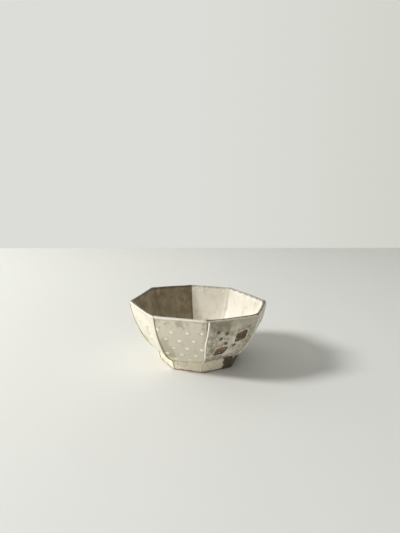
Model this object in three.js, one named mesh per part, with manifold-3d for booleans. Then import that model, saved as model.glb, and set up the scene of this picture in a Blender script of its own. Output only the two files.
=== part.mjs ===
// Eight-sided slab-built stoneware bowl, in millimetres, +Z up.
// The origin is the middle of the foot's underside, and the front corner lies towards -Y.
// Eight mitred wall slabs are joined by slip seams and stand on a floor slab, on a foot ring.
import * as THREE from "three";
import { mergeVertices } from "three/addons/utils/BufferGeometryUtils.js";
import Module from "manifold-3d";

const wasm = await Module();
wasm.setup();

const SIDES = 8;
const STEP = (2 * Math.PI) / SIDES;

// Corner azimuths run from -Y towards +X. The hand-made rim wanders a little at each corner.
const CORNERS = [
  { name: "front", turn: 0, drift: -0.5, rise: 0.4 },
  { name: "front_right", turn: 0.2, drift: 2.5, rise: -0.9 },
  { name: "right", turn: -2.7, drift: -0.1, rise: -0.9 },
  { name: "back_right", turn: 5.1, drift: -2.0, rise: -0.6 },
  { name: "back", turn: 1.1, drift: -0.3, rise: -0.3 },
  { name: "back_left", turn: -2.2, drift: 1.2, rise: 1.4 },
  { name: "left", turn: -2.1, drift: 0.1, rise: 0.6 },
  { name: "front_left", turn: 1.0, drift: -0.9, rise: 0.2 },
];
const SLAB_NAMES = [
  "wall_slab_front_right",
  "wall_slab_right_front",
  "wall_slab_right_back",
  "wall_slab_back_right",
  "wall_slab_back_left",
  "wall_slab_left_back",
  "wall_slab_left_front",
  "wall_slab_front_left",
];

// Overall sizes, measured to the corners.
const RIM_RADIUS = 60;
const HEIGHT = 53;
const RIM_THICKNESS = 3.2;
const BOTTOM_THICKNESS = 5;
const FACET_CROWN = 0.6;
const STEADY_RADIUS = 20;

// How the corner profile leaves the foot and reaches the rim.
const BELLY_OUT = 8.5;
const BELLY_UP = 3.3;
const LIP_IN = 2.5;
const LIP_DOWN = 19;

// Foot ring and floor slab. The ring tapers downwards, and the wall overhangs it.
const FOOT_HEIGHT = 10;
const FOOT_TOP_RADIUS = 36.8;
const FOOT_TAPER = 2.3;
const FOOT_WIDTH = 5.5;
const FOOT_BASE_RADIUS = FOOT_TOP_RADIUS - FOOT_TAPER;
const FOOT_INNER_RADIUS = FOOT_BASE_RADIUS - FOOT_WIDTH;
const FOOT_BEVEL = 1;
const FLOOR_THICKNESS = 4.2;
const FLOOR_BEVEL = 0.8;

// Slip seams, and the thin gaps that keep neighbours apart.
const SEAM_WIDTH = 1.6;
const SEAM_DEPTH = 1.6;
const RAISED_PROUD = 0.5;
const SUNK_PROUD = -0.3;
const SEAM_RIM_GAP = 2.2;
const SEAM_BASE_Z = 0.8;
const SEAM_CLEARANCE = 0.15;
const JOINT_GAP = 0.2;
const SEAT_GAP = 0.2;

// The wall's lower edge stands just clear of the foot ring's top, and past it.
const WALL_OVERHANG = 1.2;
const WALL_BOTTOM_RADIUS = FOOT_TOP_RADIUS + WALL_OVERHANG;
const WALL_BOTTOM_Z = FOOT_HEIGHT + SEAT_GAP;

// Lozenge pockets of the four amber-glazed sides.
const LOZENGE_LENGTH = 13.2;
const LOZENGE_WIDTH = 9.2;
const LOZENGE_DEPTH = 0.6;
const LOZENGE_TILT = THREE.MathUtils.degToRad(38);
const LOZENGES = [
  { along: 0.71, up: 33 },
  { along: 0.37, up: 22.5 },
];

const COLUMNS = 6;
const WALL_ROWS = 14;
const SEAM_ROWS = 22;
const WEDGE_REACH = 90;
const WEDGE_MARGIN = 4;

// The outside of a corner at a share t of its rise, from the foot to the rim.
function wallCurve() {
  return new THREE.CubicBezierCurve(
    new THREE.Vector2(WALL_BOTTOM_RADIUS, WALL_BOTTOM_Z),
    new THREE.Vector2(WALL_BOTTOM_RADIUS + BELLY_OUT, WALL_BOTTOM_Z + BELLY_UP),
    new THREE.Vector2(RIM_RADIUS - LIP_IN, HEIGHT - LIP_DOWN),
    new THREE.Vector2(RIM_RADIUS, HEIGHT),
  );
}
const OUTER = wallCurve();

function outwardNormal(t) {
  const d = OUTER.getTangent(t);
  return new THREE.Vector2(d.y, -d.x);
}

// How much of the rim's wander is felt at height z.
function driftShare(z) {
  return THREE.MathUtils.smoothstep(z, FOOT_HEIGHT, HEIGHT);
}

function cornerAzimuth(i) {
  return i * STEP + THREE.MathUtils.degToRad(CORNERS[i % SIDES].turn);
}

// The wander fades out towards the middle of the bowl.
function wander(r, z) {
  return driftShare(z) * Math.min(r / STEADY_RADIUS, 1);
}

// A corner point whose profile says radius r and height z.
function cornerPoint(i, r, z) {
  const { drift, rise } = CORNERS[i % SIDES];
  const share = wander(r, z);
  const a = cornerAzimuth(i);
  const radius = r + drift * share;
  return new THREE.Vector3(radius * Math.sin(a), -radius * Math.cos(a), z + rise * share);
}

// A point on the side after corner i, at share u of the way to the next corner.
function sidePoint(i, u, r, z, crown = FACET_CROWN) {
  const a = cornerPoint(i, r, z);
  const b = cornerPoint(i + 1, r, z);
  const p = a.clone().lerp(b, u);
  const out = new THREE.Vector2(p.x, p.y).normalize();
  const swell = crown * wander(r, z) * 4 * u * (1 - u);
  return new THREE.Vector3(p.x + out.x * swell, p.y + out.y * swell, p.z);
}

// Turns a closed (r, z) outline into an eight-sided ring or dish.
function faceted(outline, columns) {
  const points = outline.map(([r, z]) => new THREE.Vector2(Math.max(r, 0), z));
  const lathe = new THREE.LatheGeometry(points, SIDES * columns);
  const pos = lathe.getAttribute("position");
  const rows = points.length;
  for (let s = 0; s <= SIDES * columns; s++) {
    const column = s % (SIDES * columns);
    const side = Math.floor(column / columns);
    const u = (column % columns) / columns;
    for (let j = 0; j < rows; j++) {
      const p = sidePoint(side, u, points[j].x, points[j].y);
      pos.setXYZ(s * rows + j, p.x, p.y, p.z);
    }
  }
  return solidOf(lathe);
}

function solidOf(geometry) {
  const bare = geometry.clone();
  bare.deleteAttribute("normal");
  bare.deleteAttribute("uv");
  const merged = mergeVertices(bare, 1e-4);
  const index = [];
  for (let i = 0; i < merged.index.count; i += 3) {
    const [a, b, c] = [0, 1, 2].map((k) => merged.index.getX(i + k));
    if (a !== b && b !== c && c !== a) index.push(a, b, c);
  }
  const mesh = new wasm.Mesh({
    numProp: 3,
    vertProperties: new Float32Array(merged.getAttribute("position").array),
    triVerts: new Uint32Array(index),
  });
  const made = new wasm.Manifold(mesh);
  if (made.volume() >= 0) return made;
  for (let i = 0; i < index.length; i += 3) {
    [index[i + 1], index[i + 2]] = [index[i + 2], index[i + 1]];
  }
  mesh.triVerts = new Uint32Array(index);
  return new wasm.Manifold(
    new wasm.Mesh({ numProp: 3, vertProperties: mesh.vertProperties, triVerts: mesh.triVerts }),
  );
}

// A closed solid through equal rings of points, with flat fans over its two ends.
function loft(rings) {
  const n = rings[0].length;
  const positions = rings.flat().flatMap((p) => [p.x, p.y, p.z]);
  const index = [];
  for (let r = 0; r < rings.length - 1; r++) {
    for (let k = 0; k < n; k++) {
      const a = r * n + k;
      const b = r * n + ((k + 1) % n);
      index.push(a, b, b + n, a, b + n, a + n);
    }
  }
  const last = (rings.length - 1) * n;
  for (let k = 1; k < n - 1; k++) {
    index.push(0, k + 1, k);
    index.push(last, last + k, last + k + 1);
  }
  const g = new THREE.BufferGeometry();
  g.setAttribute("position", new THREE.Float32BufferAttribute(positions, 3));
  g.setIndex(index);
  return solidOf(g);
}

// The closed outline of the whole wall: outside upwards, over the rounded rim, inside downwards.
function wallOutline() {
  const outer = [];
  const inner = [];
  for (let j = 0; j <= WALL_ROWS; j++) {
    const t = j / WALL_ROWS;
    const p = OUTER.getPoint(t);
    const n = outwardNormal(t);
    const thick = THREE.MathUtils.lerp(BOTTOM_THICKNESS, RIM_THICKNESS, t);
    outer.push([p.x, p.y]);
    inner.push([p.x - n.x * thick, p.y - n.y * thick]);
  }
  const soft = RIM_THICKNESS / 4;
  const top = outer.pop();
  const topIn = inner.pop();
  const rim = [
    [top[0], top[1] - soft],
    [top[0] - soft, top[1]],
    [topIn[0] + soft, top[1]],
    [topIn[0], top[1] - soft],
  ];
  const outline = [...outer, ...rim, ...inner.reverse()];
  return [...outline, outline[0]];
}

// The lowest inner point of the wall, where the floor slab meets it.
function wallFoot() {
  const p = OUTER.getPoint(0);
  const n = outwardNormal(0);
  return { outer: p, inner: new THREE.Vector2(p.x - n.x * BOTTOM_THICKNESS, p.y - n.y * BOTTOM_THICKNESS) };
}

// A wedge that holds one slab, its two sides half a joint gap inside the corner planes.
function wedge(i) {
  return loft(
    [-WEDGE_MARGIN, HEIGHT + WEDGE_MARGIN].map((z) => {
      const a = cornerAzimuth(i);
      const b = cornerAzimuth(i + 1);
      const mid = (a + b) / 2;
      const back = JOINT_GAP / 2 / Math.sin((b - a) / 2);
      const apex = new THREE.Vector3(back * Math.sin(mid), -back * Math.cos(mid), z);
      const reach = (angle) =>
        new THREE.Vector3(
          apex.x + WEDGE_REACH * Math.sin(angle),
          apex.y - WEDGE_REACH * Math.cos(angle),
          z,
        );
      return [apex, reach(a), reach(mid), reach(b)];
    }),
  );
}

// The corner line from the foot's base, over the foot and up the wall to just under the rim.
function cornerPath(i) {
  const line = [
    new THREE.Vector2(footRadius(SEAM_BASE_Z), SEAM_BASE_Z),
    new THREE.Vector2(footRadius(FOOT_HEIGHT - FOOT_BEVEL), FOOT_HEIGHT - FOOT_BEVEL),
  ];
  for (let j = 0; j <= SEAM_ROWS; j++) {
    const t = j / SEAM_ROWS;
    const p = OUTER.getPoint(t);
    if (p.y < HEIGHT - SEAM_RIM_GAP) line.push(p);
  }
  return line.map((p) => cornerPoint(i, p.x, p.y));
}

function footRadius(z) {
  return THREE.MathUtils.mapLinear(z, 0, FOOT_HEIGHT, FOOT_BASE_RADIUS, FOOT_TOP_RADIUS);
}

// A seam: a rounded strip along the corner line, seated SEAM_DEPTH into the clay.
function seam(i, grow) {
  const path = cornerPath(i);
  const proud = i % 2 === 0 ? RAISED_PROUD : SUNK_PROUD;
  const half = SEAM_WIDTH / 2 + grow;
  const rings = path.map((p, j) => {
    const before = path[Math.max(j - 1, 0)];
    const after = path[Math.min(j + 1, path.length - 1)];
    const along = after.clone().sub(before).normalize();
    const radial = new THREE.Vector3(p.x, p.y, 0).normalize();
    const across = along.clone().cross(radial).normalize();
    const out = across.clone().cross(along).normalize();
    const end = j === 0 ? -grow : j === path.length - 1 ? grow : 0;
    const at = (x, y) =>
      p.clone().addScaledVector(across, x).addScaledVector(out, y).addScaledVector(along, end);
    const top = proud + (grow > 0 ? 1.5 : 0);
    return [
      at(-half, -SEAM_DEPTH - grow),
      at(half, -SEAM_DEPTH - grow),
      at(half, top - 0.45),
      at(half / 2, top),
      at(-half / 2, top),
      at(-half, top - 0.45),
    ];
  });
  return loft(rings);
}

// The floor slab closes the wall's foot and lies on the foot ring.
function floorSlab() {
  const z0 = FOOT_HEIGHT + SEAT_GAP;
  const z1 = z0 + FLOOR_THICKNESS;
  const foot = wallFoot();
  const slope = foot.inner.clone().sub(foot.outer);
  const radiusAt = (z) =>
    foot.outer.x + (slope.x * (z - foot.outer.y)) / slope.y - JOINT_GAP * 1.5;
  return faceted(
    [
      [0, z0],
      [radiusAt(z0) - FLOOR_BEVEL, z0],
      [radiusAt(z0 + FLOOR_BEVEL) - FLOOR_BEVEL / 2, z0 + FLOOR_BEVEL],
      [radiusAt(z1), z1],
      [0, z1],
    ],
    2,
  );
}

function footRing() {
  return faceted(
    [
      [FOOT_INNER_RADIUS + FOOT_BEVEL, 0],
      [FOOT_BASE_RADIUS - FOOT_BEVEL, 0],
      [footRadius(FOOT_BEVEL), FOOT_BEVEL],
      [footRadius(FOOT_HEIGHT - FOOT_BEVEL), FOOT_HEIGHT - FOOT_BEVEL],
      [FOOT_TOP_RADIUS - FOOT_BEVEL, FOOT_HEIGHT],
      [FOOT_INNER_RADIUS, FOOT_HEIGHT],
      [FOOT_INNER_RADIUS, FOOT_BEVEL],
      [FOOT_INNER_RADIUS + FOOT_BEVEL, 0],
    ],
    2,
  );
}

// A diamond-shaped cutter that sinks LOZENGE_DEPTH into side i at the given place.
function lozenge(i, along, up) {
  const t = shareAtHeight(up);
  const r = OUTER.getPoint(t).x;
  const centre = sidePoint(i, along, r, up);
  const side = cornerPoint(i + 1, r, up).sub(cornerPoint(i, r, up)).normalize();
  const higher = sidePoint(i, along, OUTER.getPoint(t + 0.05).x, OUTER.getPoint(t + 0.05).y);
  const rise = higher.sub(centre).normalize();
  const out = side.clone().cross(rise).normalize();
  const upward = out.clone().cross(side).normalize();
  const long = side.clone().multiplyScalar(Math.cos(LOZENGE_TILT)).addScaledVector(upward, Math.sin(LOZENGE_TILT));
  const short = out.clone().cross(long).normalize();
  const ring = (height, share) =>
    [
      [LOZENGE_LENGTH / 2, 0],
      [0, LOZENGE_WIDTH / 2],
      [-LOZENGE_LENGTH / 2, 0],
      [0, -LOZENGE_WIDTH / 2],
    ].map(([x, y]) =>
      centre.clone().addScaledVector(long, x * share).addScaledVector(short, y * share).addScaledVector(out, height),
    );
  return loft([ring(-LOZENGE_DEPTH, 0.9), ring(0, 1), ring(4, 1.4)]);
}

function shareAtHeight(z) {
  let low = 0;
  let high = 1;
  for (let k = 0; k < 30; k++) {
    const mid = (low + high) / 2;
    if (OUTER.getPoint(mid).y < z) low = mid;
    else high = mid;
  }
  return (low + high) / 2;
}

function finish(color, roughness) {
  return new THREE.MeshStandardMaterial({ color, roughness, metalness: 0 });
}
const DOTTED = finish(0xd2cab7, 0.45);
const LOZENGED = finish(0x9a927d, 0.45);
const SLIP = finish(0xf0e6cd, 0.5);
const CREAM = finish(0xd9d1bd, 0.3);
const CLAY = finish(0xb8a587, 0.75);

const bowl = new THREE.Group();

function addPiece(name, solid, material) {
  const m = solid.getMesh();
  const g = new THREE.BufferGeometry();
  g.setAttribute("position", new THREE.BufferAttribute(new Float32Array(m.vertProperties), 3));
  g.setIndex(new THREE.BufferAttribute(new Uint32Array(m.triVerts), 1));
  g.computeVertexNormals();
  const piece = new THREE.Mesh(g, material);
  piece.name = name;
  bowl.add(piece);
}

const wall = faceted(wallOutline(), COLUMNS);
const grooves = CORNERS.map((_, i) => seam(i, SEAM_CLEARANCE));

for (let i = 0; i < SIDES; i++) {
  const lozenged = i % 2 === 0;
  let slab = wall.intersect(wedge(i));
  slab = slab.subtract(grooves[i]).subtract(grooves[(i + 1) % SIDES]);
  if (lozenged) {
    for (const place of LOZENGES) slab = slab.subtract(lozenge(i, place.along, place.up));
  }
  addPiece(SLAB_NAMES[i], slab, lozenged ? LOZENGED : DOTTED);
}

let base = floorSlab();
let foot = footRing();
for (const groove of grooves) {
  base = base.subtract(groove);
  foot = foot.subtract(groove);
}
addPiece("floor_slab", base, CREAM);
addPiece("foot_ring", foot, CLAY);

CORNERS.forEach((corner, i) => addPiece("seam_bead_" + corner.name, seam(i, 0), SLIP));

export default bowl;
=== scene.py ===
# %% [markdown]
# # An eight-sided stoneware bowl
# The real bowl is built from slabs of rolled clay. Eight wall slabs are bent outwards, mitred at
# their sides and joined with slip, then they are set on a floor slab and a foot ring.
# Each slab, seam, floor and foot is a piece of its own here too. The imported model's plain pieces
# are hidden, and this script builds each piece again with its fine surface and glaze.

# %% Load the imported model
import math

import bmesh
import bpy
import numpy as np
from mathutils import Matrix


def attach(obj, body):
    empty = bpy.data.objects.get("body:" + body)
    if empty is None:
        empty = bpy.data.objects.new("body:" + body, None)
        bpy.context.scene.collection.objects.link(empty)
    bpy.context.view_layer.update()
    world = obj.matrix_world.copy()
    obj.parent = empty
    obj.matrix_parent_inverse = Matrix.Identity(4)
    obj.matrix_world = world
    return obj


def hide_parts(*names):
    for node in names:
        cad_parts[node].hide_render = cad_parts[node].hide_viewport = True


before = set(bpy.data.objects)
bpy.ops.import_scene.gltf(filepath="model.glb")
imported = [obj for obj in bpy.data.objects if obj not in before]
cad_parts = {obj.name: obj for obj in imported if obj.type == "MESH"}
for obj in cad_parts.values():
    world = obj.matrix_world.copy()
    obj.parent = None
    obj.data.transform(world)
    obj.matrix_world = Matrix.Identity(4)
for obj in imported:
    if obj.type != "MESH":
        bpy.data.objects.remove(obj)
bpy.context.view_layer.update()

# %% [markdown]
# ## Where the camera stands
# The camera looks down at the bowl from the front, a little to the left of the front seam. A
# camera needs a place, a direction and a focal length. They could be dragged by eye, but here
# the focal length comes from the size of the picture and the aim from the place of the bowl's foot
# in it, with the distance, rise and turn given as numbers, so that the bowl has the size and slant
# that it should have.

# %% Camera
PICTURE = (400, 533)
FOCAL_PIXELS = 480
FOOT_PIXEL = (198.7, 357.1)
CAMERA_TURN = math.radians(-6)
CAMERA_RISE = math.radians(22.46)
CAMERA_DISTANCE = 0.4427
SENSOR = 36

aside = math.atan((FOOT_PIXEL[0] - PICTURE[0] / 2) / FOCAL_PIXELS)
below = math.atan((FOOT_PIXEL[1] - PICTURE[1] / 2) / FOCAL_PIXELS)
camera = bpy.data.objects.new("camera", bpy.data.cameras.new("camera"))
camera.data.sensor_width = SENSOR
camera.data.lens = FOCAL_PIXELS / PICTURE[1] * SENSOR
camera.location = (
    CAMERA_DISTANCE * math.cos(CAMERA_RISE) * math.sin(CAMERA_TURN),
    -CAMERA_DISTANCE * math.cos(CAMERA_RISE) * math.cos(CAMERA_TURN),
    CAMERA_DISTANCE * math.sin(CAMERA_RISE),
)
camera.rotation_euler = (math.pi / 2 - CAMERA_RISE + below, 0, CAMERA_TURN + aside)
bpy.context.scene.collection.objects.link(camera)
bpy.context.scene.camera = camera
bpy.context.scene.view_settings.view_transform = "Standard"
print("lens", round(camera.data.lens, 2), "mm")

# %% [markdown]
# ## The shape of the wall
# One curve gives the slant of the wall at a corner: it leaves the foot almost flat, swells, and
# is nearly upright at the rim. A turned bowl would spin this curve. A slab-built bowl stretches
# flat clay between eight such corners, so a point on the wall lies on the straight line between
# two corners. The hand shows at the rim, where each corner wanders a little in angle, in reach
# and in height. The foot was pressed on slightly askew, so it is taller and wider on its right.
# Lengths in the shape cells are in millimetres.

# %% Corner curve and wandering corners
SIDES = 8
RIM_RADIUS = 60
HEIGHT = 53
WALL_BOTTOM = (38.0, 10.2)
BELLY = (8.5, 3.3)
LIP = (2.5, 19)
RIM_THICKNESS = 3.2
BOTTOM_THICKNESS = 5
FOOT_HEIGHT = 10
FACET_CROWN = 0.6
STEADY_RADIUS = 20
CORNER_NAMES = ["front", "front_right", "right", "back_right", "back", "back_left", "left", "front_left"]
CORNER_TURN = [0, 0.2, -2.7, 5.1, 1.1, -2.2, -2.1, 1.0]
CORNER_DRIFT = [-0.3, 2.8, 0.6, -1.6, 0.0, 1.6, 1.1, -0.6]
CORNER_RISE = [0.4, -0.9, -0.9, -0.6, -0.3, 1.4, 0.6, 0.2]
FOOT_LIFT = [0.6, 1.9, 1.6, 0.8, 0, 0, 0, -0.5]
FOOT_SPREAD = [0.2, 1.5, 1.0, 0, 0, 0, 0, 0]
FOOT_FADE = 25


def corner_curve(t):
    """Radius and height on the outside of a corner, with t from 0 at the foot to 1 at the rim."""
    ends = np.array([WALL_BOTTOM, (WALL_BOTTOM[0] + BELLY[0], WALL_BOTTOM[1] + BELLY[1]),
                     (RIM_RADIUS - LIP[0], HEIGHT - LIP[1]), (RIM_RADIUS, HEIGHT)])
    weights = np.stack([(1 - t) ** 3, 3 * t * (1 - t) ** 2, 3 * t * t * (1 - t), t ** 3], -1)
    return weights @ ends


def smoothstep(x):
    x = np.clip(x, 0, 1)
    return x * x * (3 - 2 * x)


def wander(r, z):
    return smoothstep((z - FOOT_HEIGHT) / (HEIGHT - FOOT_HEIGHT)) * np.minimum(r / STEADY_RADIUS, 1)


def corner_point(i, r, z):
    """The corner i at profile radius r and height z."""
    share = wander(r, z)
    azimuth = i * 2 * math.pi / SIDES + math.radians(CORNER_TURN[i % SIDES])
    reach = r + CORNER_DRIFT[i % SIDES] * share
    lift = z + CORNER_RISE[i % SIDES] * share
    near_foot = (1 - smoothstep((z - FOOT_HEIGHT) / FOOT_FADE)) * np.minimum(r / STEADY_RADIUS, 1)
    reach = reach + FOOT_SPREAD[i % SIDES] * near_foot
    lift = lift + FOOT_LIFT[i % SIDES] * near_foot * np.clip(z / FOOT_HEIGHT, 0, 1)
    return np.stack([reach * math.sin(azimuth), -reach * math.cos(azimuth), lift], -1)


def side_point(i, u, r, z):
    """A point on side i, at the share u between its corners, with its outward direction and width."""
    a, b = corner_point(i, r, z), corner_point(i + 1, r, z)
    p = a + (b - a) * u[..., None]
    out = p[..., :2] / np.maximum(np.linalg.norm(p[..., :2], axis=-1, keepdims=True), 1e-6)
    p[..., :2] += out * (FACET_CROWN * wander(r, z) * 4 * u * (1 - u))[..., None]
    return p, out, np.linalg.norm(b - a, axis=-1)


rim = corner_curve(np.array([1.0]))[0]
print("rim corner radius", rim[0], "height", rim[1])

# %% [markdown]
# ## Making meshes from grids
# Every piece is a grid of points that wraps round its own outline, so it closes on itself. A
# modifier stack could thicken a plane, but a grid gives each point a known place on the slab, and
# that place says how far it is from a dot, a lozenge or a seam. Those distances are stored on the
# points as attributes, for the glaze to read.

# %% Grid to mesh
MM = 0.001
SHARP = math.radians(60)


def grid_piece(name, points, wrap, marks):
    """A closed mesh from points[u][v]: v always wraps, u wraps or ends in caps."""
    nu, nv = points.shape[:2]
    verts = points.reshape(-1, 3) * MM
    number = np.arange(nu * nv).reshape(nu, nv)
    along = number if wrap else number[:-1]
    onward = np.roll(number, -1, 0) if wrap else number[1:]
    across, across_on = np.roll(along, -1, 1), np.roll(onward, -1, 1)
    quads = np.stack([along, onward, across_on, across], -1).reshape(-1, 4).tolist()
    if not wrap:
        quads += [number[0].tolist(), number[-1][::-1].tolist()]
    mesh = bpy.data.meshes.new(name)
    mesh.from_pydata(verts.tolist(), [], quads)
    for mark, values in marks.items():
        layer = mesh.attributes.new(mark, "FLOAT", "POINT")
        layer.data.foreach_set("value", np.ascontiguousarray(values, dtype=np.float32).ravel())
    return finish_mesh(name, mesh)


def finish_mesh(name, mesh):
    work = bmesh.new()
    work.from_mesh(mesh)
    bmesh.ops.remove_doubles(work, verts=work.verts, dist=1e-7)
    bmesh.ops.recalc_face_normals(work, faces=work.faces)
    work.to_mesh(mesh)
    work.free()
    mesh.polygons.foreach_set("use_smooth", [True] * len(mesh.polygons))
    mesh.set_sharp_from_angle(angle=SHARP)
    made = bpy.data.objects.new(name, mesh)
    bpy.context.scene.collection.objects.link(made)
    return made


def wave(x, y, seed):
    """A slow, smooth ripple between about -1 and 1, the same on every run."""
    rng = np.random.default_rng(seed)
    total = 0
    for _ in range(5):
        fx, fy = rng.uniform(-1, 1, 2)
        total = total + np.sin(fx * x + fy * y + rng.uniform(0, 2 * math.pi))
    return total / 3


# %% [markdown]
# ## Decoration marks
# Two kinds of slab take turns round the bowl. One has white slip dots, set in staggered rows and
# standing a little proud. The other has sunk lozenges that the amber glaze pools in, each with a
# pale ridge round it, and small ringed dots. Both are old, common patterns. They are described
# by distances: below zero is inside the mark. Distances stay sharp on a fairly open grid, where
# painted colours would smear.

# %% Dots and lozenges as distances
DOT_RADIUS = 1.8
DOT_ACROSS = 12.2
DOT_UP = 8.0
DOT_SLANT = -0.3
DOT_START = (-0.7, 37.5)
DOT_ROWS = 6
LOZENGE_HALF = (7.0, 5.2)
LOZENGES = [(0.73, 35.5, math.radians(54)), (0.37, 22.5, math.radians(34))]
IRON_DOTS = [(0.22, 42), (0.3, 35.5), (0.43, 30.5), (0.63, 27), (0.4, 40)]
FAR = 9.0
SIDE_WIDTH = 43


def dots_distance(x, s, seed):
    """Distance to the nearest white dot, on a side where x runs across and s up from the foot."""
    rng = np.random.default_rng(seed)
    best = np.full(x.shape, FAR)
    for row in range(DOT_ROWS):
        for column in range(-3, 4):
            cx = DOT_START[0] + column * DOT_ACROSS + (row + 1) % 2 * DOT_ACROSS / 2 + row * DOT_SLANT
            cs = DOT_START[1] - row * DOT_UP
            jitter = rng.uniform(-0.7, 0.7, 2)
            radius = DOT_RADIUS * rng.uniform(0.85, 1.12)
            d = np.hypot(x - cx - jitter[0], (s - cs - jitter[1]) * 1.2) - radius
            best = np.minimum(best, d)
    return best


def lozenge_distance(x, s, centre, tilt):
    dx, ds = x - centre[0], s - centre[1]
    long = dx * math.cos(tilt) + ds * math.sin(tilt)
    short = ds * math.cos(tilt) - dx * math.sin(tilt)
    round_off = 1.18
    share = (np.abs(long) / LOZENGE_HALF[0]) ** round_off + (np.abs(short) / LOZENGE_HALF[1]) ** round_off
    return (share ** (1 / round_off) - 1) * LOZENGE_HALF[1]


# %% [markdown]
# ## Wall slabs
# A slab's outline runs up the outside, over the rounded rim and down the inside. The rim is
# pinched thinner than the foot of the wall. Slow ripples and softened corners give it the look of
# clay that was bent by hand, because a perfect facet looks like plastic.

# %% Outline of a slab
OUTER_ROWS = 84
INNER_ROWS = 50
RIM_ROWS = 9
COLUMNS = 84


def slab_outline():
    """Radius, height, normal, arc length and kind of each point on the closed outline."""
    t = np.linspace(0, 1, OUTER_ROWS)
    outer = corner_curve(t)
    tangent = np.gradient(outer, axis=0)
    tangent /= np.linalg.norm(tangent, axis=1, keepdims=True)
    normal = np.stack([tangent[:, 1], -tangent[:, 0]], -1)
    arc = np.concatenate([[0], np.cumsum(np.linalg.norm(np.diff(outer, axis=0), axis=1))])
    thick = BOTTOM_THICKNESS + (RIM_THICKNESS - BOTTOM_THICKNESS) * t
    centre = outer[-1] - normal[-1] * RIM_THICKNESS / 2 - tangent[-1] * RIM_THICKNESS / 2
    turn = np.linspace(0, math.pi, RIM_ROWS)[1:-1]
    half = RIM_THICKNESS / 2
    lip = (centre + np.cos(turn)[:, None] * normal[-1] * half + np.sin(turn)[:, None] * tangent[-1] * half)
    lip_normal = np.cos(turn)[:, None] * normal[-1] + np.sin(turn)[:, None] * tangent[-1]
    cut = outer @ tangent[-1] < centre @ tangent[-1]
    outer, normal_out, arc_out = outer[cut], normal[cut], arc[cut]
    pick = np.linspace(0, cut.sum() - 1, INNER_ROWS).round().astype(int)[::-1]
    inner = outer[pick] - normal_out[pick] * thick[pick][:, None]
    line = np.concatenate([outer, lip, inner])
    normals = np.concatenate([normal_out, lip_normal, -normal_out[pick]])
    arcs = np.concatenate([arc_out, np.full(len(lip), arc[-1]), arc_out[pick]])
    kind = np.concatenate([np.ones(len(outer)), np.linspace(1, 0, len(lip)), np.zeros(len(inner))])
    return line, normals, arcs, kind


LINE, NORMALS, ARCS, KIND = slab_outline()
ARC_TOP = ARCS.max()
print("slab outline has", len(LINE), "points, wall length", round(float(ARC_TOP), 1), "mm")

# %% One slab with its relief
SLAB_NAMES = [
    "wall_slab_front_right", "wall_slab_right_front", "wall_slab_right_back", "wall_slab_back_right",
    "wall_slab_back_left", "wall_slab_left_back", "wall_slab_left_front", "wall_slab_front_left",
]
# Painted shade on the lining: how far each side's inside is darkened, most on the sides turned away from the
# lamp.
SHADED_LINING = [0, 0, 0, 0.15, 1, 1, 0.85, 0.6]
# Strength of the rim's iron line on each side: partly how bare the rim is, partly painted light, low on the
# front-left side whose rim catches the lamp.
RIM_IRON_AND_LIGHT = [1, 1, 0.75, 0.6, 0.95, 1, 0.95, 0.35]
CORNER_SOFT = 0.55
CORNER_SPREAD = 1.8
CREASE_FILL = 0.9
CREASE_SPREAD = 3.5
RIPPLE = 0.22
DOT_HEIGHT = 0.26
LOZENGE_DEPTH = 0.5
LOZENGE_RIDGE = 0.25
RIDGE_PLACE = 1.1
RIDGE_SPREAD = 0.7
DENT_DEPTH = 0.25
DENT_SPREAD = 0.8
RIM_WAVE = 0.28
CUT_OFFSET = 1.3
CUT_HALF = 0.12
CUT_DEPTH = 0.35
CUT_TOP = 11


def height_arc(z):
    """Arc length on the outside where the corner curve has height z."""
    t = np.linspace(0, 1, 400)
    curve = corner_curve(t)
    arc = np.concatenate([[0], np.cumsum(np.linalg.norm(np.diff(curve, axis=0), axis=1))])
    return float(np.interp(z, curve[:, 1], arc))


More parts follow.
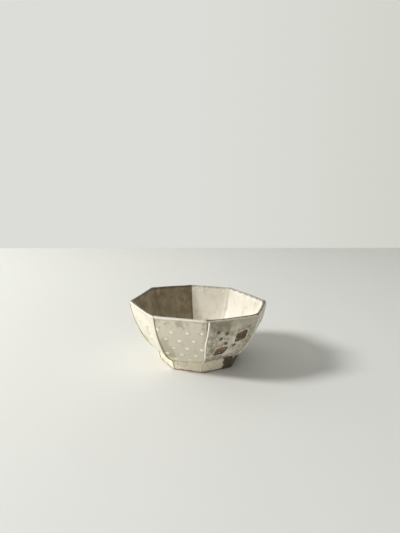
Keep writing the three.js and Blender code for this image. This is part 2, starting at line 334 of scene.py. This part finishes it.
def make_slab(i):
    name = SLAB_NAMES[i]
    u = np.linspace(0, 1, COLUMNS)[:, None] * np.ones(len(LINE))
    r, z = LINE[:, 0] * np.ones(u.shape), LINE[:, 1] * np.ones(u.shape)
    p, out, width = side_point(i, u, r, z)
    kind, arc = KIND * np.ones(u.shape), ARCS * np.ones(u.shape)
    x = (u - 0.5) * width
    near = np.minimum(u, 1 - u) * width
    outside = smoothstep((kind - 0.5) * 2)
    inside = 1 - kind
    push = -CORNER_SOFT * np.exp(-((near / CORNER_SPREAD) ** 2)) * kind
    push = push + CREASE_FILL * np.exp(-((near / CREASE_SPREAD) ** 2)) * inside
    azimuth = np.arctan2(p[..., 0], -p[..., 1])
    ripple = wave(3.0 * np.cos(azimuth) * 3, z * 0.16 + 3 * np.sin(azimuth), 3) * RIPPLE
    push = push + ripple * smoothstep(arc / 8)
    marks = {"inside": inside, "arc": arc, "near": near, "to_rim": ARC_TOP - arc}
    marks["thin"] = SHADED_LINING[i] * np.ones(u.shape)
    marks["rim_iron_and_light"] = RIM_IRON_AND_LIGHT[i] * np.ones(u.shape)
    body = outside * smoothstep(arc / 3) * smoothstep((ARC_TOP - arc) / 3)
    if i % 2:
        dots = dots_distance(x, arc, 20 + i)
        edge = np.minimum(near - 1.5, ARC_TOP - arc - 4)
        dots = np.where(edge > 0, dots, np.maximum(dots, -edge))
        push = push + DOT_HEIGHT * smoothstep(-dots / 1.4 + 0.25) * body
        cut = np.maximum(np.abs(u * width - CUT_OFFSET) - CUT_HALF, arc - (ARC_TOP - CUT_TOP))
        push = push - CUT_DEPTH * smoothstep(0.5 - cut / 0.6) * body
        marks |= {"dots": dots, "cut": cut}
    else:
        pools = np.full(x.shape, FAR)
        rings = np.full(x.shape, FAR)
        for along, up, tilt in LOZENGES:
            spot = ((along - 0.5) * SIDE_WIDTH, height_arc(up))
            pools = np.minimum(pools, lozenge_distance(x, arc, spot, tilt))
        for along, up in IRON_DOTS:
            spot = ((along - 0.5) * SIDE_WIDTH, height_arc(up))
            rings = np.minimum(rings, np.hypot(x - spot[0], arc - spot[1]))
        push = push - LOZENGE_DEPTH * smoothstep(0.5 - pools / 1.2) * body
        push = push + LOZENGE_RIDGE * np.exp(-(((pools - RIDGE_PLACE) / RIDGE_SPREAD) ** 2)) * body
        push = push - DENT_DEPTH * np.exp(-((rings / DENT_SPREAD) ** 2)) * body
        marks |= {"pools": pools, "rings": rings}
    p[..., :2] += out * (NORMALS[:, 0] * push)[..., None]
    p[..., 2] += NORMALS[:, 1] * push
    p[..., 2] += RIM_WAVE * wave(azimuth * 9, 0 * z, 8) * smoothstep((arc - ARC_TOP + 12) / 12)
    return grid_piece(name + "_clay", p, False, marks)


slabs = [make_slab(i) for i in range(SIDES)]
print("eight slabs,", sum(len(s.data.vertices) for s in slabs), "points")

# %% [markdown]
# ## Slip seams
# The mitred corners are sealed with a roll of soft slip. On four corners it stands up as a
# wandering cream line, and on the other four it is pressed in. A bevelled curve would give an
# even wire, so each seam is lofted here from a low, rounded section that swells and wobbles.

# %% Seams
SEAM_BASE = 0.9
SEAM_TOP_GAP = 1.0
SEAM_STEPS = 150
RAISED = (0.55, 0.68)
PRESSED = (0.1, 0.7)
FOOT_TOP_RADIUS = 36.8
FOOT_BASE_RADIUS = 34.5
SEAM_DEPTH = 1.2
SEAM_LEAN = 4.6
SEAM_WOBBLE = 0.9
PRESSED_WOBBLE = 0.4
SEAM_SWELL = 0.22
# Painted shade: on these corners the seams are darkened brown where they run down the foot, on the side away
# from the lamp.
SHADED_CORNERS = (1, 2, 3)


def foot_radius(z):
    return FOOT_BASE_RADIUS + (FOOT_TOP_RADIUS - FOOT_BASE_RADIUS) * z / FOOT_HEIGHT


def make_seam(i):
    proud, half = RAISED if i % 2 == 0 else PRESSED
    foot_z = np.linspace(SEAM_BASE, FOOT_HEIGHT - 0.8, 14)
    low = np.stack([foot_radius(foot_z), foot_z], -1)
    wall = corner_curve(np.linspace(0, 1, SEAM_STEPS))
    wall = wall[wall[:, 1] < HEIGHT - SEAM_TOP_GAP]
    line = np.concatenate([low, wall])
    for _ in range(3):
        line[1:-1] = (line[:-2] + 2 * line[1:-1] + line[2:]) / 4
    path = corner_point(i, line[:, 0], line[:, 1])
    run = np.concatenate([[0], np.cumsum(np.linalg.norm(np.diff(path, axis=0), axis=1))])
    along = np.gradient(path, axis=0)
    along /= np.linalg.norm(along, axis=1, keepdims=True)
    radial = path * [1, 1, 0]
    radial /= np.linalg.norm(radial, axis=1, keepdims=True)
    across = np.cross(along, radial)
    across /= np.linalg.norm(across, axis=1, keepdims=True)
    out = np.cross(across, along)
    lean = SEAM_LEAN * (run / run[-1] - 0.5) * (1 if i == 0 else 0)
    wobble = lean + SEAM_WOBBLE * wave(run * 0.24, 0 * run, 40 + i) * (1 if i % 2 == 0 else PRESSED_WOBBLE)
    swell = 1 + SEAM_SWELL * wave(run * 0.5, 0 * run, 60 + i)
    ends = smoothstep(np.minimum(run, run[-1] - run) / 1.5 + 0.25)
    turn = np.linspace(0, math.pi, 9)
    section = [(math.cos(a), math.sin(a)) for a in turn] + [(-0.8, -1), (0.8, -1)]
    rings = []
    for sx, sy in section:
        lift = np.where(sy > 0, sy * (proud + CORNER_SOFT) * swell * ends - CORNER_SOFT, sy * SEAM_DEPTH)
        rings.append(path + across * (wobble + sx * half * swell * ends)[:, None] + out * lift[:, None])
    points = np.stack(rings, 1)
    height = np.stack([np.full(len(path), max(sy, 0)) for _, sy in section], 1)
    # Painted shade at the foot of the seams on the shaded corners.
    foot_shade = smoothstep((FOOT_HEIGHT + 1 - points[..., 2]) / 2) * (i in SHADED_CORNERS)
    return grid_piece("seam_" + CORNER_NAMES[i] + "_slip", points, False, {"crest": height, "foot_shade": foot_shade})


seams = [make_seam(i) for i in range(SIDES)]
print("eight seams, half of them raised", RAISED[0], "mm")

# %% [markdown]
# ## Floor slab and foot ring
# The floor is one thick slab, dished a little by the thumb, that closes the wall's foot. The foot
# ring is built from a strip, so it has the same eight corners. Both could be plain discs, but
# the underside of a bowl is looked at as often as its rim, so they get beads, bevels and ripples.

# %% Floor and foot
FLOOR_LINE = [(0, 10.25), (33.5, 10.25), (35.8, 10.4), (37.0, 11.6), (36.8, 13.6), (35.9, 14.9),
              (34.0, 14.75), (30, 14.4), (20, 14.2), (8, 14.1), (0, 14.1)]
FOOT_LINE = [(30.2, 0.15), (31.1, 0), (33.3, 0), (34.2, 0.25), (34.7, 0.9), (35.6, 5), (36.5, 8.8),
             (36.4, 9.6), (35.7, 9.95), (30, 9.95), (29.2, 9.3), (29.0, 5), (29.3, 0.9)]
# Painted shade on the foot: the azimuths, in degrees from the front, between which its right side is
# darkened, away from the lamp and under the wall's overhang.
FOOT_SHADE_SPAN = (22, 150)
RING_COLUMNS = 32
FINE = 0.7


def fine_line(points, closed):
    """The outline with extra points, so that no stretch is longer than FINE."""
    pairs = list(zip(points, points[1:] + points[:1])) if closed else list(zip(points, points[1:]))
    made = []
    for a, b in pairs:
        count = max(1, math.ceil(math.dist(a, b) / FINE))
        made += [(a[0] + (b[0] - a[0]) * k / count, a[1] + (b[1] - a[1]) * k / count) for k in range(count)]
    return np.array(made if closed else made + [points[-1]])


def ring_points(line, soft):
    """Sweeps an outline round the eight corners, with the corners rounded by soft."""
    columns = []
    for i in range(SIDES):
        for k in range(RING_COLUMNS):
            u = np.full(len(line), k / RING_COLUMNS)
            p, out, width = side_point(i, u, line[:, 0], line[:, 1])
            near = np.minimum(u, 1 - u) * width
            share = np.clip(line[:, 0] / FOOT_BASE_RADIUS, 0, 1)
            p[:, :2] -= out * (soft * np.exp(-((near / 1.6) ** 2)) * share)[:, None]
            columns.append(p)
    return np.array(columns)


def make_floor():
    line = fine_line(FLOOR_LINE, False)
    points = ring_points(line, 0.3)
    far = np.hypot(points[..., 0], points[..., 1])
    points[..., 2] += 0.12 * wave(points[..., 0] * 0.15, points[..., 1] * 0.15, 5) * (points[..., 2] > 13)
    marks = {"inside": (points[..., 2] > 12.5).astype(float), "far": far, "thin": 0 * far}
    marks |= {"near": FAR + 0 * far, "to_rim": HEIGHT + 0 * far}
    return grid_piece("floor_slab_clay", points, True, marks)


def make_foot():
    line = fine_line(FOOT_LINE, True)
    points = ring_points(line, 0.5)
    low = points[..., 2]
    ripple = 0.18 * wave(points[..., 0] * 0.12, points[..., 1] * 0.12 + low * 0.2, 9) * smoothstep(low / 2)
    direction = points[..., :2] / np.linalg.norm(points[..., :2], axis=-1, keepdims=True)
    outer = (np.hypot(points[..., 0], points[..., 1]) > 30.0).astype(float)
    points[..., :2] += direction * (ripple * outer)[..., None]
    azimuth = np.degrees(np.arctan2(points[..., 0], -points[..., 1]))
    # Painted shade: the foot's right side, away from the lamp, is marked for darkening.
    foot_shade = smoothstep((azimuth - FOOT_SHADE_SPAN[0]) / 16) * smoothstep((FOOT_SHADE_SPAN[1] - azimuth) / 25)
    return grid_piece("foot_ring_clay", points, True, {"low": low, "outer": outer, "foot_shade": foot_shade})


floor_piece = make_floor()
foot_piece = make_foot()
print("floor", len(floor_piece.data.vertices), "points, foot", len(foot_piece.data.vertices))

# %% [markdown]
# ## Writing shader maths
# A glaze is a recipe of masks: how much iron, how close to an edge, inside a dot or not. In the
# node editor each plus sign is a box with wires. Here a small class wraps a socket, so that a
# formula in Python adds those boxes by itself.

# %% Wire class


class Wire:
    """A node's output that can be used in sums."""

    def __init__(self, tree, socket=None):
        self.tree = tree
        self.socket = socket

    def add(self, kind, settings, sockets, output=0):
        """Adds a node of this kind, with settings first, then numbers or wires on its sockets."""
        made = self.tree.nodes.new(kind)
        for key, value in settings.items():
            setattr(made, key, value)
        for key, value in sockets.items():
            if isinstance(value, Wire):
                self.tree.links.new(made.inputs[key], value.socket)
            else:
                made.inputs[key].default_value = value
        return Wire(self.tree, made.outputs[output])

    def maths(self, operation, first, second=0.0):
        return self.add("ShaderNodeMath", {"operation": operation}, {0: first, 1: second})

    def __add__(self, other):
        return self.maths("ADD", self, other)

    __radd__ = __add__

    def __mul__(self, other):
        return self.maths("MULTIPLY", self, other)

    __rmul__ = __mul__

    def __sub__(self, other):
        return self.maths("SUBTRACT", self, other)

    def __rsub__(self, other):
        return self.maths("SUBTRACT", other, self)

    def step(self, low, high):
        """Rises smoothly from 0 at low to 1 at high, or falls if high is the smaller."""
        rising = self.add("ShaderNodeMapRange", {"interpolation_type": "SMOOTHSTEP"},
                          {"Value": self, "From Min": min(low, high), "From Max": max(low, high)})
        return rising if high > low else 1 - rising

    def blend(self, under, over):
        """The colour under where this mask is 0, and over where it is 1."""
        return self.add("ShaderNodeMix", {"data_type": "RGBA"}, {0: self, 6: under, 7: over}, 2)

    def noise(self, size, detail=3.0, roughness=0.55, stretch=None):
        """Noise between 0 and 1 whose patches are about size millimetres."""
        place = self.add("ShaderNodeTexCoord", {}, {}, 3)
        if stretch:
            place = self.add("ShaderNodeMapping", {}, {"Vector": place, "Scale": stretch})
        return self.add("ShaderNodeTexNoise", {}, {
            "Vector": place, "Scale": 1 / (size * MM), "Detail": detail, "Roughness": roughness})

    def cells(self, size, output=0):
        place = self.add("ShaderNodeTexCoord", {}, {}, 3)
        return self.add("ShaderNodeTexVoronoi", {}, {"Vector": place, "Scale": 1 / (size * MM)}, output)

    def mark(self, name):
        """The value stored on the mesh's points under this name."""
        return self.add("ShaderNodeAttribute", {"attribute_name": name}, {}, 2)


def colour(red, green, blue):
    """A screen colour from 0 to 255, as the linear colour that a shader wants."""
    def linear(c):
        c /= 255
        return c / 12.92 if c <= 0.04045 else ((c + 0.055) / 1.055) ** 2.4
    return (linear(red), linear(green), linear(blue), 1)


def new_material(name):
    """A material, its shader node and a wire to start formulas from."""
    made = bpy.data.materials.new(name)
    made.use_nodes = True
    shader = made.node_tree.nodes["Principled BSDF"]
    return made, shader, Wire(made.node_tree)


def connect(wire, shader, socket):
    wire.tree.links.new(shader.inputs[socket], wire.socket)


def bumped(wire, shader, height, distance, strength=1.0):
    """Feeds a height in millimetres to the shader's normal."""
    bump = wire.add("ShaderNodeBump", {}, {"Strength": strength, "Distance": distance * MM, "Height": height})
    connect(bump, shader, "Normal")


# %% [markdown]
# ## Glazes
# The ground is a thin oatmeal glaze over iron-bearing stoneware. It is pale where it is thick,
# grey-olive where it is thin, and it breaks to brown on every edge. Iron shows through as fine
# specks. The inside is the same glaze, thicker and creamier. All glazed pieces share one ground
# recipe, because they were dipped together.

# %% Shared ground recipe
CREAM = colour(238, 232, 217)
OATMEAL = colour(228, 220, 200)
GREY_OLIVE = colour(182, 173, 149)
# Painted shade on the lining of the sides turned away from the lamp.
LINING_SHADE_OLIVE = colour(140, 128, 92)
LINING_SHADE_BROWN = colour(122, 100, 72)
RIM_IRON = colour(66, 56, 36)
# Painted shade for the foot and the seams' feet, on the side away from the lamp.
FOOT_SHADE_BROWN = colour(92, 78, 52)
FOOT_SHADE_DEEP = colour(58, 50, 34)
IRON = colour(82, 62, 42)
TOASTED = colour(164, 124, 82)
WHITE_SLIP = colour(255, 252, 244)
AMBER = colour(150, 122, 80)
AMBER_DEEP = colour(66, 50, 30)
# Painted light: the amber of the lozenge pools, paled where the lamp falls on them.
LIT_AMBER = colour(244, 239, 210)
LIT_AMBER_DEEP = colour(234, 229, 196)
DARK_LINE = colour(84, 74, 54)


def ground(w, pale, dark, dark_share):
    """Mottled glaze between a pale and a dark colour, with iron specks."""
    cloud = w.noise(15, 4, 0.6)
    fine = w.noise(3.2, 3, 0.6)
    mottle = (cloud * 0.65 + fine * 0.35).step(0.62 - dark_share, 0.72 - dark_share * 0.6)
    base = mottle.blend(pale, dark)
    specks = w.cells(2.6).step(0.2, 0.1) * w.noise(7, 2).step(0.52, 0.62)
    return (specks * 0.85).blend(base, IRON)


def inside_glaze(w):
    """The creamy lining, with a few specks and faint runs, and painted shade that darkens it to olive and
    brown on the sides turned away from the lamp and in their inside corners.
    """
    cloud = w.noise(18, 3).step(0.35, 0.75)
    base = (cloud * 0.6).blend(CREAM, colour(222, 214, 192))
    # Painted shade: the lining of the sides away from the lamp is darkened to olive and brown.
    thin = w.mark("thin") * (0.62 + w.noise(11, 4, 0.6) * 0.6)
    base = thin.blend(base, w.noise(9, 4, 0.6).step(0.35, 0.65).blend(LINING_SHADE_OLIVE, LINING_SHADE_BROWN))
    pale = w.noise(4, 3, 0.65).step(0.5, 0.62) * (w.mark("to_rim") + w.noise(9, 2) * 8).step(13, 6)
    base = (pale * (1 - w.mark("thin")) * 0.8).blend(base, WHITE_SLIP)
    runs = w.noise(5, 3, 0.6, (1, 1, 0.25)).step(0.5, 0.7) * 0.4
    base = runs.blend(base, colour(186, 176, 146))
    # Painted shade in the inside corners of the shaded sides.
    crease_shade = w.mark("near").step(3.6, 0.4) * w.mark("thin") * 0.45
    base = crease_shade.blend(base, colour(96, 82, 58))
    specks = w.cells(3.4).step(0.2, 0.1) * w.noise(9, 2).step(0.48, 0.6)
    return (specks * 0.6).blend(base, colour(120, 100, 70))


def rim_and_seam(w, base):
    """A grey-olive band just under the rim, a painted highlight on the rim's outer edge, darker beside the
    seams and browner at the foot of the wall.
    """
    ragged = w.noise(4, 3) * 2.2
    # A grey-olive band a few millimetres under the rim.
    under_rim_band = (w.mark("to_rim") + ragged).step(4.2, 3.2) - (w.mark("to_rim") + ragged).step(2.4, 1.7)
    base = (under_rim_band * 0.45).blend(base, GREY_OLIVE)
    # Painted highlight: a cream line along the outer edge of the rim, where it catches the lamp.
    rim_highlight = (w.mark("to_rim") + ragged * 0.4).step(1.6, 0.9)
    base = (rim_highlight * 0.8).blend(base, CREAM)
    beside = (w.mark("near") + ragged * 0.5).step(2.2, 1.0) * 0.3
    base = beside.blend(base, GREY_OLIVE)
    foot = (w.mark("arc") + ragged).step(3.4, 1.2) * 0.35
    return foot.blend(base, TOASTED)


def lip(w, base, share=0.9):
    """The iron line along the top of the rim; its strength on each side is partly how bare the rim is and
    partly painted light, weak on the front-left rim where the lamp catches it.
    """
    ragged = (w.noise(3, 3) - 0.5) * 0.35
    across = w.mark("inside") + ragged
    line = across.step(0.18, 0.34) * across.step(1.12, 0.92) * w.mark("to_rim").step(1.9, 1.1)
    return (line * w.mark("rim_iron_and_light") * share).blend(base, RIM_IRON)


def set_glaze(shader, w, base, inside, rough=0.42):
    connect(base, shader, "Base Color")
    connect(rough + w.noise(6, 2) * 0.16 - inside * 0.1, shader, "Roughness")
    shader.inputs["Coat Roughness"].default_value = 0.22
    shader.inputs["Coat Weight"].default_value = 0.25


# %% Dotted slabs
def dotted_material(name, pale, dark, dark_share):
    material, shader, w = new_material(name)
    base = ground(w, pale, dark, dark_share)
    olive = w.noise(22, 2).step(0.6, 0.72) * 0.45
    base = olive.blend(base, colour(170, 160, 112))
    toasted = w.noise(16, 3).step(0.62, 0.74) * w.mark("arc").step(26, 6) * 0.75
    base = toasted.blend(base, colour(176, 138, 98))
    ragged = (w.noise(1.6, 2) - 0.5) * 0.9
    halo = (w.mark("dots") + ragged).step(0.95, 0.15) * 0.35
    base = halo.blend(base, GREY_OLIVE)
    base = rim_and_seam(w, base)
    dots = (w.mark("dots") + ragged).step(0.2, -0.25)
    base = dots.blend(base, WHITE_SLIP)
    cut = w.mark("cut").step(0.3, -0.1)
    base = (cut * 0.8).blend(base, DARK_LINE)
    inside = w.mark("inside").step(0.45, 0.6)
    base = lip(w, inside.blend(base, inside_glaze(w)))
    set_glaze(shader, w, base, inside)
    bumped(w, shader, w.noise(1.3, 3) * 0.5 + w.noise(5, 2), 0.16)
    return material


# %% Lozenge slabs
def lozenge_material(name, pale, dark, dark_share, pool, pool_deep, iron):
    material, shader, w = new_material(name)
    base = ground(w, pale, dark, dark_share)
    # Painted shade: the wall is darkened towards the rim, where it leans out and faces down.
    shade = (w.mark("to_rim") + w.noise(12, 3) * 16).step(24, 8) * dark_share * 2.0
    base = shade.blend(base, dark)
    smears = w.noise(6, 3, 0.6).step(0.53, 0.62) * w.mark("to_rim").step(8, 22) * 0.8
    base = smears.blend(base, CREAM)
    base = rim_and_seam(w, base)
    ragged = (w.noise(1.8, 2) - 0.5) * 1.0
    pools = w.mark("pools") + ragged
    ridge = pools.step(2.0, 1.3) - pools.step(0.8, 0.2)
    base = (ridge * w.noise(5, 2).step(0.35, 0.6) * 0.85).blend(base, CREAM)
    deep = w.noise(3.5, 3).step(0.4, 0.65) * 0.7 + pools.step(-1.7, 0.1) * 0.8
    amber = (w.noise(2.4, 3, 0.65).step(0.42, 0.56) * 0.8).blend(deep.blend(pool, pool_deep), pool_deep)
    glint = w.noise(2.2, 2).step(0.6, 0.7) * pools.step(-0.8, -1.6) * 0.75
    amber = glint.blend(amber, CREAM)
    base = pools.step(0.5, -0.1).blend(base, amber)
    rings = w.mark("rings") + ragged * 0.9
    base = (rings.step(2.3, 1.5) * 0.35 * iron).blend(base, CREAM)
    base = (rings.step(2.3, 1.2) * iron).blend(base, IRON)
    inside = w.mark("inside").step(0.45, 0.6)
    base = lip(w, inside.blend(base, inside_glaze(w)))
    set_glaze(shader, w, base, inside)
    bumped(w, shader, w.noise(1.3, 3) * 0.5 + w.noise(5, 2), 0.16)
    return material


dotted = dotted_material("dotted_glaze_look", OATMEAL, GREY_OLIVE, 0.1)
lozenged = lozenge_material(
    "lozenge_glaze_look", colour(222, 214, 196), colour(152, 144, 120), 0.22, AMBER, AMBER_DEEP, 0.9)
# Painted light: a paler copy of the lozenge glaze, with faint iron dots, for the sides that face the lamp.
lit_lozenged = lozenge_material(
    "lit_lozenge_look", colour(238, 232, 216), colour(216, 208, 186), 0.1, LIT_AMBER, LIT_AMBER_DEEP, 0.15)
print("slab glazes", dotted.name, lozenged.name, lit_lozenged.name)

# %% [markdown]
# ## Slip, foot and floor finishes
# The slip seams are nearly white on their crest and yellow-brown at their edges, where glaze ran
# off them. The foot is glazed like the wall down to a wavy line, and its lowest edge is bare clay
# toasted by the kiln. Bare clay has no shine, so it is rough all over and slightly sandy.

# %% Slip, foot and floor materials
BARE_DARK = colour(150, 116, 82)
BARE_PALE = colour(186, 156, 118)


def slip_material():
    material, shader, w = new_material("seam_slip_look")
    crest = (w.mark("crest") + (w.noise(3, 3) - 0.5) * 0.9).step(0.05, 0.5)
    base = crest.blend(colour(196, 182, 150), colour(255, 250, 238))
    worn = w.noise(5, 3).step(0.6, 0.72) * 0.4
    base = worn.blend(base, colour(214, 196, 160))
    # Painted shade at the foot of the seam.
    base = (w.mark("foot_shade") * 0.9).blend(base, FOOT_SHADE_BROWN)
    connect(base, shader, "Base Color")
    connect(0.4 + w.noise(4, 2) * 0.2, shader, "Roughness")
    bumped(w, shader, w.noise(1.5, 3), 0.15)
    return material


def bare_clay(w):
    """Unglazed clay, toasted in patches."""
    return w.noise(4, 4, 0.65).step(0.3, 0.7).blend(BARE_DARK, BARE_PALE)


def foot_material():
    material, shader, w = new_material("foot_clay_look")
    glazed = ground(w, colour(246, 236, 212), GREY_OLIVE, 0.08)
    clay = bare_clay(w)
    line = (w.mark("low") + w.noise(6, 3) * 2.4).step(2.0, 2.8) * w.mark("outer")
    glazed = (w.noise(7, 3).step(0.5, 0.66) * 0.4).blend(glazed, colour(216, 190, 152))
    smears = w.noise(5, 3, 0.6).step(0.54, 0.62) * w.mark("low").step(1.5, 4)
    glazed = (smears * 0.7).blend(glazed, WHITE_SLIP)
    base = line.blend(clay, glazed)
    # Painted shade: the foot's right side, away from the lamp and under the wall's overhang, is darkened
    # brown.
    ragged = w.mark("foot_shade") + (w.noise(5, 3, 0.6) - 0.5) * 1.1
    foot_shade_mask = ragged.step(0.4, 0.62) * w.mark("foot_shade").step(0.02, 0.2)
    base = (foot_shade_mask * 0.95).blend(base, w.noise(4, 3).step(0.35, 0.65).blend(FOOT_SHADE_BROWN, FOOT_SHADE_DEEP))
    connect(base, shader, "Base Color")
    connect(0.85 - line * 0.4, shader, "Roughness")
    bumped(w, shader, w.noise(0.9, 3), 0.14)
    return material


def floor_material():
    material, shader, w = new_material("floor_slab_look")
    inside = w.mark("inside")
    pooled = w.mark("far").step(34, 20) * 0.3
    cream = pooled.blend(inside_glaze(w), colour(214, 206, 170))
    clay = bare_clay(w)
    connect(inside.blend(clay, cream), shader, "Base Color")
    connect(0.82 - inside * 0.5, shader, "Roughness")
    bumped(w, shader, w.noise(2.0, 3), 0.12)
    return material


slip = slip_material()
foot_look = foot_material()
floor_look = floor_material()
print("three more finishes")

# %% [markdown]
# ## Putting the pieces on the frame
# Nothing on the bowl moves, so every piece rides on the one body. Each fine piece stands for the
# plain solid of the same name, which it hides, and gets one of the finishes made above.

# %% Dress the bowl
# Painted light: these lozenge sides face the lamp and get the paler copy of the glaze.
LAMP_FACING_SIDES = (4, 6)


def dress(piece, node, material):
    piece.data.materials.append(material)
    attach(piece, "root")
    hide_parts(node)


for i, slab in enumerate(slabs):
    if i % 2:
        dress(slab, SLAB_NAMES[i], dotted)
    else:
        dress(slab, SLAB_NAMES[i], lit_lozenged if i in LAMP_FACING_SIDES else lozenged)
for name, seam in zip(CORNER_NAMES, seams):
    dress(seam, "seam_bead_" + name, slip)
dress(floor_piece, "floor_slab", floor_look)
dress(foot_piece, "foot_ring", foot_look)
print("dressed", len(slabs) + len(seams) + 2, "pieces")

# %% [markdown]
# ## Floor, backdrop and light
# The bowl stands on a pale sheet in front of a pale wall. One soft lamp stands to the camera's
# left and throws a shadow to the right, and an even world light fills the shadow. A larger lamp
# would melt the shadow away, and a smaller one would cut it hard. The wall glows for the camera
# with painted light: a pale tone that darkens towards the right, away from the lamp, so that no
# more light is needed on the bowl to keep the background pale.

# %% Studio
WALL_BEHIND = 0.594
SHEET_HALF = 3.0
LAMP_RISE = math.radians(36)
LAMP_DISTANCE = 2.0
LAMP_SIZE = 0.5
LAMP_TURN = math.radians(8)
LAMP_POWER = 33.5
WORLD_LIGHT = 0.38


def glow(w, shader, material, shade_left, shade_right):
    """Shows the camera a pale sheet, whatever light falls on it, with painted light that darkens it towards
    the right, away from the lamp.
    """
    place = w.add("ShaderNodeTexCoord", {}, {}, 3)
    across = w.add("ShaderNodeSeparateXYZ", {}, {"Vector": place}, 0).step(-0.1, 0.7)
    shine = w.add("ShaderNodeEmission", {}, {"Color": across.blend(shade_left, shade_right)})
    seen = w.add("ShaderNodeLightPath", {}, {}, "Is Camera Ray")
    for ray in ("Is Glossy Ray", "Is Transmission Ray"):
        seen = seen + w.add("ShaderNodeLightPath", {}, {}, ray)
    surface = w.add("ShaderNodeMixShader", {}, {0: seen, 1: Wire(w.tree, shader.outputs[0]), 2: shine})
    output = material.node_tree.nodes["Material Output"]
    w.tree.links.new(output.inputs["Surface"], surface.socket)


def sheet(name, corners, shade):
    mesh = bpy.data.meshes.new(name)
    mesh.from_pydata(corners, [], [(0, 1, 2, 3)])
    made = bpy.data.objects.new(name, mesh)
    bpy.context.scene.collection.objects.link(made)
    material, shader, w = new_material(name + "_paper")
    connect((w.noise(400, 2) * 0.25).blend(shade, colour(218, 218, 213)), shader, "Base Color")
    shader.inputs["Roughness"].default_value = 0.9
    made.data.materials.append(material)
    return made


h = SHEET_HALF
table_top = sheet("table_top", [(-h, -h, 0), (h, -h, 0), (h, h, 0), (-h, h, 0)], colour(226, 226, 221))
wall_sheet = sheet("back_wall", [(-h, 0, 0), (h, 0, 0), (h, 0, h), (-h, 0, h)], colour(219, 220, 216))
wall_sheet.location = (-WALL_BEHIND * math.sin(CAMERA_TURN), WALL_BEHIND * math.cos(CAMERA_TURN), 0)
wall_sheet.rotation_euler = (0, 0, CAMERA_TURN)
paper = wall_sheet.data.materials[0]
glow(Wire(paper.node_tree), paper.node_tree.nodes["Principled BSDF"], paper,
     colour(220, 221, 216), colour(206, 208, 197))

lamp = bpy.data.objects.new("key_lamp", bpy.data.lights.new("key_lamp", "AREA"))
lamp.data.shape = "DISK"
lamp.data.size = LAMP_SIZE
lamp.data.energy = LAMP_POWER
lamp.location = (
    -LAMP_DISTANCE * math.cos(LAMP_RISE) * math.cos(CAMERA_TURN + LAMP_TURN),
    -LAMP_DISTANCE * math.cos(LAMP_RISE) * math.sin(CAMERA_TURN + LAMP_TURN),
    LAMP_DISTANCE * math.sin(LAMP_RISE),
)
lamp.rotation_euler = (0, -(math.pi / 2 - LAMP_RISE), CAMERA_TURN + LAMP_TURN)
bpy.context.scene.collection.objects.link(lamp)

world = bpy.data.worlds.new("soft_room")
world.use_nodes = True
world.node_tree.nodes["Background"].inputs["Color"].default_value = (1.0, 1.0, 0.985, 1)
world.node_tree.nodes["Background"].inputs["Strength"].default_value = WORLD_LIGHT
bpy.context.scene.world = world
print("lamp", LAMP_POWER, "W, world", WORLD_LIGHT)
